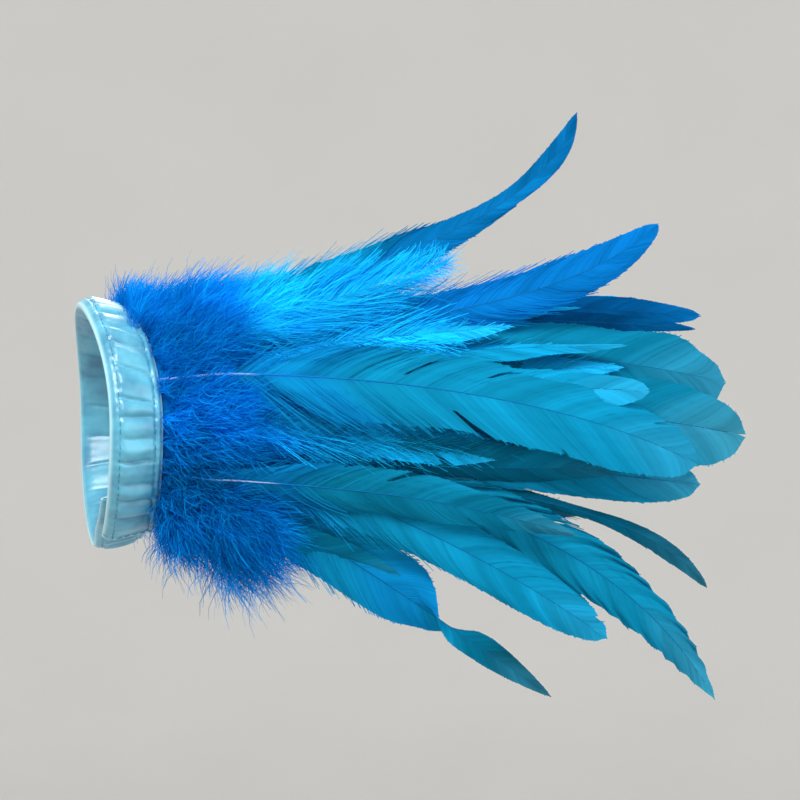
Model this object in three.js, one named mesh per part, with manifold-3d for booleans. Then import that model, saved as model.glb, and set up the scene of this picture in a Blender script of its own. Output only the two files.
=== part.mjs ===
// A feather shoulder cuff, as worn: a folded satin ribbon round the top of the arm, with cock feathers
// that stand out sideways from it and a ruff of down at their feet.
// Millimetres and degrees. The origin is the middle of the arm loop. +X points away from the neck, along
// the feathers, -Y is the wearer's front and +Z is up.
import * as THREE from 'three';
import { mergeVertices } from 'three/addons/utils/BufferGeometryUtils.js';
import Module from 'manifold-3d';

const wasm = await Module();
wasm.setup();

// Driving dimensions

// The oval that the quills lie on. Angles round it start at the front and go up over the shoulder.
// Its top leans towards the neck, and it narrows away from the neck by the cone angle.
const LOOP = { halfDepth: 54, halfHeight: 39.5, lean: 6, cone: 14 };

// The ribbon, folded along its neck edge. Each pucker is one gather along the sewn ribbon.
const RIBBON = { width: 18, ply: 1, foldRound: 0.7, step: 4.5, pucker: 0.3, puckersPerTurn: 27 };

// Where the ribbon's inner and outer faces lie, measured out from the loop, along its way round.
const RIBBON_SECTIONS = [
  { around: -62, inner: -1.2, outer: 2.4 }, // hemmed front end
  { around: -58, inner: -1.9, outer: 3.6 }, // full of quills
  { around: 234, inner: -1.9, outer: 3.6 },
  { around: 246, inner: -1.2, outer: 1.2 }, // bare ribbon under the arm
  { around: 264, inner: -1.2, outer: 1.2 },
  { around: 292, inner: -6.1, outer: -3.7 }, // tucked in under the front end
  { around: 318, inner: -6.1, outer: -3.7 },
];

const SNAP = { around: -52, radius: 4.5, thickness: 1.2, sides: 20 };

// The tape that holds the quills, in the pocket of the ribbon. The feathers start inside it.
const TAPE = { from: -56, to: 232, step: 6, back: -6.5, front: 7.5, thickness: 1.2, footAt: 3 };

// Every feather leaves along the ribbon and has turned to its own direction after bendIn.
const FEATHER = { bendIn: 35, footWidth: 4, thickness: 1.2, camber: 0.2, tipWidth: 1.2 };
const FEATHER_STATIONS = [0, 0.05, 0.17, 0.36, 0.56, 0.74, 0.89, 0.97, 1];

// The feathers that make the outline, one to a row. pitch is up and yaw is back, at the foot. bendUp and
// bendBack are added by the tip, late in the feather where bendLate is large. turn rolls the blade about its
// quill, and turnMore rolls it further by the tip. point is 0 on a round tip and 1 on a long pointed one.
const FEATHER_COLUMNS = [
  'around', 'length', 'width', 'pitch', 'yaw', 'bendUp', 'bendBack', 'bendLate', 'turn', 'turnMore', 'point',
];
const OUTLINE_FEATHERS = {
  topSpike: [68, 184, 16, 12, -3, 54, 0, 2.6, 25, 25, 1],
  upperSpike: [46, 191, 13, 7, -4, 30, 4, 3.6, 20, 15, 0.7],
  upperStrap: [56, 200, 9, 10, -1, -16, 3, 1.5, 30, 20, 0.3],
  upperBroad: [33, 204, 27, 7, -5, -21, 8, 1.6, 10, 0, 0.1],
  middleBroad: [18, 207, 21, 0, -7, -14, 8, 1.5, 0, 10, 0.15],
  middleStrap: [-4, 192, 14, -5, -6, -1, 6, 1.5, -10, 0, 0],
  lowerWisp: [-14, 201, 8, -5, -5, -38, 5, 3.5, -15, -20, 0.8],
  lowerCurl: [-24, 219, 15, -5, -8, -50, 5, 2, -10, -15, 0.8],
  lowerStrap: [-12, 175, 20, -9, -11, -30, 10, 1.2, -5, 0, 0.2],
  lowestSpike: [-38, 159, 17, -14, -12, -24, 12, 0.8, -10, -70, 0.9],
  brightBlade: [48, 122, 20, 2, -7, -8, 4, 1.5, 12, 0, 0.4],
  upperBlade: [57, 136, 17, 10, -5, 6, 2, 1.5, 15, 0, 0.7],
  centreBlade: [8, 124, 19, -2, -11, -12, 6, 1.5, 0, 0, 0.5],
  backSpike: [138, 176, 14, 3, 9, -6, 34, 2.4, -20, -20, 0.9],
  backBroad: [166, 196, 22, 0, 7, -8, -8, 1.6, -5, 0, 0.15],
  backStrap: [190, 188, 15, -1, 11, -4, 12, 1.8, 5, 10, 0.3],
  backCurl: [208, 172, 16, 2, 14, -14, 26, 2, 10, 20, 0.8],
  lowBackBlade: [224, 140, 18, -2, 16, -16, -4, 1.2, 10, 0, 0.6],
};

// The rows of feathers that fill the fringe between those, spread evenly with a little seeded variation.
// spreadUp and spreadOut open the row like a fan, up and down and to the front and back.
const FILL_ROWS = [
  { count: 13, from: -48, to: 224, layer: 0, length: 158, width: 18, spreadUp: 4, spreadOut: 8 },
  { count: 9, from: -40, to: 216, layer: -0.3, length: 136, width: 17, spreadUp: 1, spreadOut: 2 },
];
const FILL_VARY = { around: 5, length: 16, width: 3, aim: 4, droop: 9, sideways: 7, turn: 14 };
const FILL_SEED = 20261;

// The down: a thin flaring backing that starts in the pocket, with rows of locks that stand out from it.
// Under the arm the locks are longer, by hang, and hang more steeply, by hangDown.
const DOWN = {
  from: -56, to: 232, step: 6, foot: 1, mouth: 9.5, rim: 33, flare: 26, gap: 1.15, wall: 1,
  hang: 1.7, hangDown: 24,
};
const DOWN_ROWS = [
  { at: 12, count: 20, rise: 62, length: 13, width: 9, thickness: 3 },
  { at: 20, count: 22, rise: 52, length: 15, width: 10, thickness: 3.2 },
  { at: 29, count: 24, rise: 43, length: 19, width: 10, thickness: 3.2 },
];
const DOWN_VARY = { length: 0.3, rise: 7, lean: 24 };
const DOWN_SEED = 417;

const COLOURS = { satin: 0x7cc8ea, feather: 0x0b86c4, down: 0x0a6bd0, snap: 0xdfe6ea };

// Small helpers

const rad = THREE.MathUtils.degToRad;
const smooth = (x) => THREE.MathUtils.smoothstep(x, 0, 1);
const mix = THREE.MathUtils.lerp;
const X_AXIS = new THREE.Vector3(1, 0, 0);

// Repeatable numbers from 0 to 1, from a linear congruential series.
function series(seed) {
  let state = seed;
  return () => {
    state = (state * 1664525 + 1013904223) % 4294967296;
    return state / 4294967296;
  };
}
const either = (draw) => 2 * draw() - 1;

// The frame of the ribbon at an angle round the loop: its point, across (out of the pocket, away from
// the neck) and out (away from the arm).
function ribbonFrame(around) {
  const c = Math.cos(rad(around));
  const s = Math.sin(rad(around));
  const rise = Math.max(0, s);
  const point = new THREE.Vector3(-LOOP.lean * rise * rise, -LOOP.halfDepth * c, LOOP.halfHeight * s);
  const radial = new THREE.Vector3(0, -c / LOOP.halfDepth, s / LOOP.halfHeight).normalize();
  const along = new THREE.Vector3(0, -radial.z, radial.y);
  const across = X_AXIS.clone().multiplyScalar(Math.cos(rad(LOOP.cone)))
    .addScaledVector(radial, -Math.sin(rad(LOOP.cone)));
  const out = radial.clone().multiplyScalar(Math.cos(rad(LOOP.cone)))
    .addScaledVector(X_AXIS, Math.sin(rad(LOOP.cone)));
  return { point, across, out, along };
}

const place = (frame, t, n) =>
  frame.point.clone().addScaledVector(frame.across, t).addScaledVector(frame.out, n);

// A closed mesh through rings of points that all have the same count, with flat ends.
function loft(rings, section) {
  const count = rings[0].length;
  const positions = rings.flat().flatMap((p) => [p.x, p.y, p.z]);
  const index = [];
  for (let r = 0; r + 1 < rings.length; r++) {
    for (let k = 0; k < count; k++) {
      const a = r * count + k;
      const b = r * count + ((k + 1) % count);
      index.push(a, b, b + count, a, b + count, a + count);
    }
  }
  const last = (rings.length - 1) * count;
  for (const [i, j, k] of THREE.ShapeUtils.triangulateShape(section, [])) {
    index.push(k, j, i, last + i, last + j, last + k);
  }
  const geometry = new THREE.BufferGeometry();
  geometry.setAttribute('position', new THREE.Float32BufferAttribute(positions, 3));
  geometry.setIndex(index);
  return geometry;
}

function solidOf(geometry) {
  const bare = geometry.clone();
  bare.deleteAttribute('normal');
  bare.deleteAttribute('uv');
  const merged = mergeVertices(bare, 1e-3);
  const solid = new wasm.Manifold(new wasm.Mesh({
    numProp: 3,
    vertProperties: merged.attributes.position.array,
    triVerts: new Uint32Array(merged.index.array),
  }));
  return solid.volume() < 0 ? solidOf(turned(merged)) : solid;
}

// Fuses solids to one body and fills the small hollows that crossing blades shut in.
function fuse(solids) {
  const skins = wasm.Manifold.union(solids).decompose();
  return skins.reduce((best, skin) => (skin.volume() > best.volume() ? skin : best));
}

function turned(geometry) {
  const index = geometry.index.array;
  for (let i = 0; i < index.length; i += 3) [index[i], index[i + 1]] = [index[i + 1], index[i]];
  return geometry;
}

function geometryOf(solid) {
  const mesh = solid.getMesh();
  const geometry = new THREE.BufferGeometry();
  geometry.setAttribute('position', new THREE.BufferAttribute(mesh.vertProperties, 3));
  geometry.setIndex(new THREE.BufferAttribute(mesh.triVerts, 1));
  geometry.computeVertexNormals();
  return geometry;
}

function piece(name, solid, colour, roughness) {
  const material = new THREE.MeshStandardMaterial({ color: colour, roughness, metalness: 0 });
  const mesh = new THREE.Mesh(geometryOf(solid), material);
  mesh.name = name;
  return mesh;
}

// The satin ribbon

function ribbonFaces(around) {
  const next = RIBBON_SECTIONS.findIndex((row) => row.around >= around);
  const high = RIBBON_SECTIONS[Math.max(next, 1)];
  const low = RIBBON_SECTIONS[Math.max(next, 1) - 1];
  const share = smooth((around - low.around) / (high.around - low.around));
  return { inner: mix(low.inner, high.inner, share), outer: mix(low.outer, high.outer, share) };
}

// A folded strip in section: two plies with the pocket between them, round at the neck edge.
function ribbonSection({ inner, outer }, gather) {
  const { ply, foldRound } = RIBBON;
  const edge = RIBBON.width / 2;
  const outerFace = outer + gather;
  return [
    [-edge + foldRound, inner], [edge, inner], [edge, inner + ply], [-edge + ply, inner + ply],
    [-edge + ply, outerFace - ply], [edge, outer - ply], [edge, outer], [-edge + foldRound, outerFace],
    [-edge, outer - foldRound], [-edge, inner + foldRound],
  ].map(([t, n]) => new THREE.Vector2(t, n));
}

function satinBand() {
  const from = RIBBON_SECTIONS[0].around;
  const to = RIBBON_SECTIONS.at(-1).around;
  const steps = Math.round((to - from) / RIBBON.step);
  const rings = [];
  for (let i = 0; i <= steps; i++) {
    const around = mix(from, to, i / steps);
    const fade = Math.sin(Math.PI * i / steps);
    const gather = fade * RIBBON.pucker * Math.sin(rad(around * RIBBON.puckersPerTurn));
    const frame = ribbonFrame(around);
    rings.push(ribbonSection(ribbonFaces(around), gather).map((p) => place(frame, p.x, p.y)));
  }
  return solidOf(loft(rings, ribbonSection(RIBBON_SECTIONS[0], 0)));
}

// One plain disc between the overlapping ends.
function snapFastener() {
  const frame = ribbonFrame(SNAP.around);
  const over = ribbonFaces(SNAP.around).inner;
  const under = ribbonFaces(SNAP.around + 360).outer;
  const disc = new THREE.CylinderGeometry(SNAP.radius, SNAP.radius, SNAP.thickness, SNAP.sides);
  const turn = new THREE.Quaternion().setFromUnitVectors(new THREE.Vector3(0, 1, 0), frame.out);
  const centre = place(frame, 0, (over + under) / 2);
  disc.applyMatrix4(new THREE.Matrix4().compose(centre, turn, new THREE.Vector3(1, 1, 1)));
  return solidOf(disc);
}

// The feathers

function directionOf(pitch, yaw) {
  return new THREE.Vector3(
    Math.cos(rad(pitch)) * Math.cos(rad(yaw)),
    Math.cos(rad(pitch)) * Math.sin(rad(yaw)),
    Math.sin(rad(pitch)),
  );
}

// Half the width of a feather at a share of its length: narrow in the down, widest past the middle, then
// closing to a round or a pointed tip.
function halfWidth(feather, share) {
  const body = mix(FEATHER.footWidth, feather.width, smooth((share - 0.06) / 0.4)) / 2;
  const tipFrom = mix(0.84, 0.5, feather.point);
  if (share <= tipFrom) return body;
  const past = (share - tipFrom) / (1 - tipFrom);
  const close = Math.pow(1 - Math.pow(past, mix(2.6, 1.5, feather.point)), mix(0.5, 0.9, feather.point));
  return Math.max(FEATHER.tipWidth / 2, body * close);
}

// The point, way and upper side of a feather at each station along it.
function quillLine(feather) {
  const frame = ribbonFrame(feather.around);
  const point = place(frame, TAPE.footAt, feather.layer);
  const stations = [];
  let before = 0;
  for (const share of FEATHER_STATIONS) {
    const substeps = 6;
    for (let k = 0; k < substeps && share > 0; k++) {
      const middle = mix(before, share, (k + 0.5) / substeps);
      point.addScaledVector(wayAt(feather, frame, middle), (share - before) / substeps * feather.length);
    }
    const way = wayAt(feather, frame, share);
    const side = frame.out.clone().addScaledVector(way, -frame.out.dot(way)).normalize();
    side.applyAxisAngle(way, rad(feather.turn * smooth(share * 4) + feather.turnMore * share));
    stations.push({ point: point.clone(), way, side, share });
    before = share;
  }
  return stations;
}

function wayAt(feather, frame, share) {
  const bend = Math.pow(share, feather.bendLate);
  const aim = directionOf(feather.pitch + feather.bendUp * bend, feather.yaw + feather.bendBack * bend);
  return frame.across.clone().lerp(aim, smooth(share * feather.length / FEATHER.bendIn)).normalize();
}

// A cambered blade: two edges, with the quill's ridge above and below between them.
function blade(feather) {
  const rings = quillLine(feather).map(({ point, way, side, share }) => {
    const edgeways = new THREE.Vector3().crossVectors(way, side);
    const half = halfWidth(feather, share);
    const drop = half * FEATHER.camber;
    const thick = FEATHER.thickness * mix(1, 0.6, share) / 2;
    const edgePoint = (sign) =>
      point.clone().addScaledVector(edgeways, sign * half).addScaledVector(side, -drop);
    return [
      edgePoint(-1),
      point.clone().addScaledVector(side, -thick),
      edgePoint(1),
      point.clone().addScaledVector(side, thick),
    ];
  });
  const square = [[-1, 0], [0, -1], [1, 0], [0, 1]].map(([x, y]) => new THREE.Vector2(x, y));
  return solidOf(loft(rings, square));
}

function outlineFeathers() {
  return Object.values(OUTLINE_FEATHERS).map((row) =>
    ({ layer: 0, ...Object.fromEntries(FEATHER_COLUMNS.map((column, i) => [column, row[i]])) }));
}

function fillFeathers() {
  const draw = series(FILL_SEED);
  return FILL_ROWS.flatMap((row) => Array.from({ length: row.count }, (_, i) => {
    const around = mix(row.from, row.to, i / (row.count - 1)) + FILL_VARY.around * either(draw);
    return {
      around,
      layer: row.layer,
      length: row.length + FILL_VARY.length * either(draw),
      width: row.width + FILL_VARY.width * either(draw),
      pitch: row.spreadUp * Math.sin(rad(around)) + FILL_VARY.aim * either(draw),
      yaw: -row.spreadOut * Math.cos(rad(around)) + FILL_VARY.aim * either(draw),
      bendUp: -FILL_VARY.droop * draw(),
      bendBack: FILL_VARY.sideways * either(draw),
      bendLate: 1.5,
      turn: FILL_VARY.turn * either(draw),
      turnMore: FILL_VARY.turn * either(draw),
      point: draw(),
    };
  }));
}

// A strip of constant section that goes round the loop.
function strip({ from, to, step }, section) {
  const steps = Math.round((to - from) / step);
  const rings = [];
  for (let i = 0; i <= steps; i++) {
    const frame = ribbonFrame(mix(from, to, i / steps));
    rings.push(section.map(([t, n]) => place(frame, t, n)));
  }
  return solidOf(loft(rings, section.map(([t, n]) => new THREE.Vector2(t, n))));
}

function featherFringe() {
  const half = TAPE.thickness / 2;
  const tape = strip(TAPE, [[TAPE.back, -half], [TAPE.front, -half], [TAPE.front, half], [TAPE.back, half]]);
  const feathers = [...outlineFeathers(), ...fillFeathers()].map(blade);
  return fuse([tape, ...feathers]);
}

// The down

function downBacking() {
  const flareTo = DOWN.gap + (DOWN.rim - DOWN.mouth) * Math.tan(rad(DOWN.flare));
  return strip(DOWN, [
    [DOWN.foot, DOWN.gap], [DOWN.mouth, DOWN.gap], [DOWN.rim, flareTo],
    [DOWN.rim, flareTo + DOWN.wall], [DOWN.mouth, DOWN.gap + DOWN.wall], [DOWN.foot, DOWN.gap + DOWN.wall],
  ]);
}

// One lock: a curved three-sided tuft that starts inside the backing's wall.
function downLock(row, around, draw) {
  const frame = ribbonFrame(around);
  const height = DOWN.gap + DOWN.wall / 2 + (row.at - DOWN.mouth) * Math.tan(rad(DOWN.flare));
  const low = Math.pow(Math.max(0, -Math.sin(rad(around))), 2);
  const rise = row.rise + DOWN.hangDown * low + DOWN_VARY.rise * either(draw);
  const length = row.length * (1 + DOWN.hang * low) * (1 + DOWN_VARY.length * either(draw));
  const lean = DOWN_VARY.lean * either(draw);
  const way = frame.across.clone().multiplyScalar(Math.cos(rad(rise)))
    .addScaledVector(frame.out, Math.sin(rad(rise)))
    .addScaledVector(frame.along, Math.sin(rad(lean))).normalize();
  const edgeways = frame.along.clone().addScaledVector(way, -frame.along.dot(way)).normalize();
  const upper = new THREE.Vector3().crossVectors(edgeways, way);
  if (upper.dot(frame.out) < 0) upper.negate();
  const sections = [{ share: 0, size: 1 }, { share: 0.55, size: 0.62 }, { share: 1, size: 0.08 }];
  const rings = sections.map(({ share, size }) => {
    const centre = place(frame, row.at, height).addScaledVector(way, length * share)
      .addScaledVector(frame.across, length * 0.22 * share * share);
    return [
      centre.clone().addScaledVector(edgeways, row.width / 2 * size),
      centre.clone().addScaledVector(upper, row.thickness * size),
      centre.clone().addScaledVector(edgeways, -row.width / 2 * size),
    ];
  });
  const triangle = [[1, 0], [0, 1], [-1, 0]].map(([x, y]) => new THREE.Vector2(x, y));
  return solidOf(loft(rings, triangle));
}

function downCollar() {
  const draw = series(DOWN_SEED);
  const locks = DOWN_ROWS.flatMap((row, r) => Array.from({ length: row.count }, (_, i) => {
    const share = (i + 0.5 + 0.25 * (r % 2)) / (row.count + 0.5);
    return downLock(row, mix(DOWN.from + 2, DOWN.to - 2, share), draw);
  }));
  return fuse([downBacking(), ...locks]);
}

const cuff = new THREE.Group();
cuff.add(piece('satin_band', satinBand(), COLOURS.satin, 0.35));
cuff.add(piece('snap_fastener', snapFastener(), COLOURS.snap, 0.4));
cuff.add(piece('feather_fringe', featherFringe(), COLOURS.feather, 0.5));
cuff.add(piece('down_collar', downCollar(), COLOURS.down, 0.9));

export default cuff;
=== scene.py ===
import math

import bpy
import numpy as np
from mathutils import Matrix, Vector


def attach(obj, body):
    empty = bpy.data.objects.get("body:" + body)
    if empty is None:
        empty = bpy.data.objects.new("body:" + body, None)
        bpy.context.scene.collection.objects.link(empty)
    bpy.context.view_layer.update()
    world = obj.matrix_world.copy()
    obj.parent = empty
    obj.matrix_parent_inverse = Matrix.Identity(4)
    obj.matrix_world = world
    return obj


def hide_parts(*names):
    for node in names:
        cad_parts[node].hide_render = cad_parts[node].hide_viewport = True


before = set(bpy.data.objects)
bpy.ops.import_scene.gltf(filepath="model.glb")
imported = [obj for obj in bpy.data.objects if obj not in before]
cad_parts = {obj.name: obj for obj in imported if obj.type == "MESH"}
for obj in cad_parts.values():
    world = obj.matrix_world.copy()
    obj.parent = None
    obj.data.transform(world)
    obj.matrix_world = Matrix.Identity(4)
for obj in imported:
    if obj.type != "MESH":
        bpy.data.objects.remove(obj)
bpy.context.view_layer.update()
mm = 0.001  # all shapes below are worked out in millimetres
fullTurn = 6.2832


# small helpers

def smooth(x, over=1):  # from 0 to 1 with soft ends
    x = np.clip(x / over, 0.0, 1.0)
    return x * x * (3.0 - 2.0 * x)


def mix(a, b, t):
    return a + (b - a) * t


def hill(x, middle, spread):  # 1 at the middle, fading on both sides
    return np.exp(-((x - middle) / spread) ** 2)


def unit(v):
    return v / np.maximum(np.linalg.norm(v, axis=-1, keepdims=True), 1e-9)


def series(seed):  # the same repeatable numbers as the solids use
    factor, step, most = 1664525, 1013904223, 4294967296
    state = seed
    while True:
        state = (state * factor + step) % most
        yield state / most


def linkPiece(name, data):
    piece = bpy.data.objects.new(name, data)
    bpy.context.scene.collection.objects.link(piece)
    return piece


def setValues(mesh, label, values):  # a number or a vector for every point
    vector = values.ndim == 2
    attribute = mesh.attributes.new(label, "FLOAT_VECTOR" if vector else "FLOAT", "POINT")
    attribute.data.foreach_set("vector" if vector else "value", values.astype(np.float32).ravel())


def plainMesh(name, points, columns, edges=(), faces=()):
    mesh = bpy.data.meshes.new(name)
    mesh.from_pydata((points * mm).tolist(), edges, faces)
    for label, values in columns.items():
        setValues(mesh, label, values)
    return mesh


def ringMesh(name, rings, capFirst=True):  # closed rings of points, one after another, the last one capped
    at = np.arange(rings[..., 0].size).reshape(rings.shape[:2])
    beside = np.roll(at, -1, 1)
    quads = np.stack([at[:-1], beside[:-1], beside[1:], at[1:]], -1).reshape(-1, 4).tolist()
    if capFirst:
        quads.append(at[0, ::-1].tolist())
    quads.append(at[-1].tolist())
    mesh = plainMesh(name, rings.reshape(-1, 3), {}, faces=quads)
    mesh.shade_smooth()
    return mesh


def pathEdges(paths):  # joins the points of each path in order
    edges, first = [], 0
    for path in paths:
        edges += [(first + k, first + k + 1) for k in range(len(path) - 1)]
        first += len(path)
    return edges


# node helpers: values go to a node's sockets in order, sockets are linked

def add(tree, kind, *values, **settings):
    node = tree.nodes.new(kind)
    for label, value in settings.items():
        setattr(node, label, value)
    for socket, value in zip([s for s in node.inputs if s.enabled], values):
        if isinstance(value, bpy.types.NodeSocket):
            tree.links.new(value, socket)
        elif value is not None:
            socket.default_value = value
    return next((s for s in node.outputs if s.enabled), None)


def maths(tree, operation, *values):
    return add(tree, "ShaderNodeMath", *values, operation=operation)


def vectors(tree, operation, *values):
    return add(tree, "ShaderNodeVectorMath", *values, operation=operation)


def named(tree, label, kind="FLOAT"):
    return add(tree, "GeometryNodeInputNamedAttribute", label, data_type=kind)


def newTree(name, inputs):
    tree = bpy.data.node_groups.new(name, "GeometryNodeTree")
    for label, kind in {"Geometry": "Geometry", **inputs, "Material": "Material"}.items():
        tree.interface.new_socket(label, in_out="INPUT", socket_type="NodeSocket" + kind)
    tree.interface.new_socket("Geometry", in_out="OUTPUT", socket_type="NodeSocketGeometry")
    start = tree.nodes.new("NodeGroupInput")
    return tree, {s.name: s for s in start.outputs}


def endTree(tree, geometry, given):
    real = add(tree, "GeometryNodeRealizeInstances", geometry)
    painted = add(tree, "GeometryNodeSetMaterial", real, None, given["Material"])
    end = tree.nodes.new("NodeGroupOutput")
    tree.links.new(painted, end.inputs["Geometry"])
    return tree


def growPiece(name, mesh, tree, settings, keep=()):
    piece = linkPiece(name, mesh)
    modifier = piece.modifiers.new(tree.name, "NODES")
    modifier.node_group = tree
    sockets = {s.name: s.identifier for s in tree.interface.items_tree if s.in_out == "INPUT"}
    for label, value in settings.items():
        modifier[sockets[label]] = value
    depsgraph = bpy.context.evaluated_depsgraph_get()
    grown = bpy.data.meshes.new_from_object(piece.evaluated_get(depsgraph), depsgraph=depsgraph)
    piece.modifiers.clear()
    piece.data = grown
    grown.name = name
    for label in [a.name for a in grown.attributes if not (a.is_required or a.is_internal or a.name in keep)]:
        grown.attributes.remove(grown.attributes[label])
    grown.materials.clear()
    grown.materials.append(settings["Material"])
    grown.shade_smooth()
    print("grown", name, len(grown.polygons), "faces")
    return piece


# the oval that the quills lie on, as in the solids: angles start at the front and go up over the shoulder
loop = dict(halfDepth=54, halfHeight=39.5, lean=6, cone=14)


def ribbonFrame(around):  # a point of the oval, and the ways across the ribbon, out of it and along it
    angle = np.radians(np.asarray(around, float))
    c, s = np.cos(angle), np.sin(angle)
    zero = np.zeros_like(c)
    lean = -loop["lean"] * np.maximum(0, s) ** 2
    point = np.stack([lean, -loop["halfDepth"] * c, loop["halfHeight"] * s], -1)
    radial = unit(np.stack([zero, -c / loop["halfDepth"], s / loop["halfHeight"]], -1))
    along = np.stack([zero, -radial[..., 2], radial[..., 1]], -1)
    xAxis = np.stack([zero + 1, zero, zero], -1)
    cone = math.radians(loop["cone"])
    across = xAxis * math.cos(cone) - radial * math.sin(cone)
    out = radial * math.cos(cone) + xAxis * math.sin(cone)
    return point, across, out, along


# strips: one narrow strip on every point, bent along root, bend and end
def stripTree():
    tree, given = newTree("softStrips", {"Root Width": "Float", "Tip Width": "Float", "Steps": "Int"})
    place = add(tree, "ShaderNodeSeparateXYZ", add(tree, "GeometryNodeInputPosition")).node
    strip = add(tree, "GeometryNodeMeshGrid", 1.0, 1.0, given["Steps"], 2)
    outward = maths(tree, "ADD", place.outputs["X"], 0.5)
    strip = add(tree, "GeometryNodeStoreNamedAttribute", strip, None, "outward", outward)
    strip = add(tree, "GeometryNodeStoreNamedAttribute", strip, None, "hand", place.outputs["Y"])
    onPoints = add(tree, "GeometryNodeInstanceOnPoints", given["Geometry"], None, strip)
    real = add(tree, "GeometryNodeRealizeInstances", onPoints)
    u = named(tree, "outward")
    rest = maths(tree, "SUBTRACT", 1.0, u)
    lean = maths(tree, "MULTIPLY", maths(tree, "MULTIPLY", u, rest), 2.0)
    squared = maths(tree, "MULTIPLY", u, u)
    width = add(tree, "ShaderNodeMapRange", squared, 0.0, 1.0, given["Root Width"], given["Tip Width"])
    width = maths(tree, "MULTIPLY", maths(tree, "MULTIPLY", width, named(tree, "hand")), named(tree, "wide"))
    position = named(tree, "root", "FLOAT_VECTOR")
    for label, amount in (("bend", lean), ("end", squared), ("flat", width)):
        move = vectors(tree, "SCALE", named(tree, label, "FLOAT_VECTOR"), amount)
        position = vectors(tree, "ADD", position, move)
    laid = add(tree, "GeometryNodeSetPosition", real, None, position)
    return endTree(tree, laid, given)


# tubes: a round tapering tube along every run of edges
def tubeTree():
    tree, given = newTree("quillTubes", {"Sides": "Int"})
    line = add(tree, "GeometryNodeMeshToCurve", given["Geometry"])
    ring = add(tree, "GeometryNodeCurvePrimitiveCircle", given["Sides"], 1.0)
    tube = add(tree, "GeometryNodeCurveToMesh", line, ring, named(tree, "thick"), True)
    return endTree(tree, tube, given)


# stitches: one rounded stitch at every step of a sewn line
def stitchTree():
    tree, given = newTree("sewnStitches", {"Step": "Float", "Length": "Float", "Thread": "Float",
                                           "Sides": "Int"})
    line = add(tree, "GeometryNodeMeshToCurve", given["Geometry"])
    steps = add(tree, "GeometryNodeCurveToPoints", line, given["Step"], mode="LENGTH").node
    half = maths(tree, "MULTIPLY", given["Length"], 0.5)
    size = add(tree, "ShaderNodeCombineXYZ", given["Thread"], given["Thread"], half)
    bead = add(tree, "GeometryNodeMeshUVSphere", given["Sides"], given["Sides"], 1.0)
    sewn = add(tree, "GeometryNodeInstanceOnPoints", steps.outputs["Points"], None, bead, None, None,
               steps.outputs["Rotation"], size)
    return endTree(tree, sewn, given)


strips = stripTree()
tubes = tubeTree()
stitches = stitchTree()
print("node trees made")


# materials

def newMaterial(name):
    material = bpy.data.materials.new(name)
    material.use_nodes = True
    tree = material.node_tree
    return material, tree, tree.nodes["Principled BSDF"]


def setSockets(shader, colour, values):
    shader.id_data.links.new(colour, shader.inputs["Base Color"])
    for label, value in values.items():
        shader.inputs[label].default_value = value


def reading(tree, label, output="Fac"):  # a value that the piece carries
    return add(tree, "ShaderNodeAttribute", attribute_name=label).node.outputs[output]


def objectPlace(tree):
    return add(tree, "ShaderNodeTexCoord").node.outputs["Object"]


def ramp(tree, factor, stops):
    node = add(tree, "ShaderNodeValToRGB", factor).node
    elements = node.color_ramp.elements
    while len(elements) < len(stops):
        elements.new(1.0)
    for element, (place, colour) in zip(elements, stops):
        element.position = place
        element.color = (*colour, 1.0)
    return node.outputs["Color"]


def mottled(tree, finish):  # a colour that varies a little over the piece
    noise = add(tree, "ShaderNodeTexNoise", objectPlace(tree), finish["noiseScale"], finish["noiseDetail"])
    return ramp(tree, noise, finish["noiseStops"])


def blended(tree, factor, first, second):
    return add(tree, "ShaderNodeMix", factor, first, second, data_type="RGBA")


def softFinish(tree, shader, dyed, finish):  # barbs and threads differ in lightness and let light through
    spark = add(tree, "ShaderNodeMapRange", reading(tree, "spark"), 0.0, 1.0, *finish["spark"])
    colour = vectors(tree, "SCALE", dyed, maths(tree, "MULTIPLY", spark, reading(tree, "light")))
    setSockets(shader, colour, {"Roughness": finish["roughness"], "Specular IOR Level": 0.0})
    lit = add(tree, "ShaderNodeBsdfTranslucent", colour)
    both = add(tree, "ShaderNodeMixShader", finish["through"], shader.outputs["BSDF"], lit)
    tree.links.new(both, tree.nodes["Material Output"].inputs["Surface"])


royal = (0.002, 0.17, 0.62)
azure = (0.006, 0.42, 0.77)
teal = (0.004, 0.24, 0.42)
greyTip = (0.05, 0.30, 0.43)
featherFinish = dict(
    blue=[(0.0, royal), (0.16, royal), (0.34, azure), (1.0, azure)],
    green=[(0.0, royal), (0.16, royal), (0.4, teal), (0.8, teal), (1.0, greyTip)],
    spark=(0.8, 1.16), roughness=0.5, through=0.25,
)


def dyedFeather(finish):  # royal blue at the foot, then azure, or teal with a grey tip
    material, tree, shader = newMaterial("dyedFeather")
    share = reading(tree, "share")
    blue = ramp(tree, share, finish["blue"])
    green = ramp(tree, share, finish["green"])
    softFinish(tree, shader, blended(tree, reading(tree, "tone"), blue, green), finish)
    return material


downFinish = dict(
    stops=[(0.0, (0.001, 0.16, 0.58)), (1.0, (0.003, 0.36, 0.86))], pale=(0.01, 0.62, 0.92, 1.0),
    spark=(0.8, 1.2), roughness=0.75, through=0.35,
)
quillFinish = dict(
    stops=[(0.0, (0.004, 0.14, 0.5)), (0.24, (0.004, 0.14, 0.5)), (0.4, (0.002, 0.13, 0.36)),
           (1.0, (0.003, 0.11, 0.27))],
    pale=(0.42, 0.6, 0.86, 1.0), sockets={"Roughness": 0.45, "Specular IOR Level": 0.05},
)


def toned(tree, finish):  # stops of colour from foot to tip, pale where the tone says so
    dyed = ramp(tree, reading(tree, "share"), finish["stops"])
    return blended(tree, reading(tree, "tone"), dyed, finish["pale"])


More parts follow.
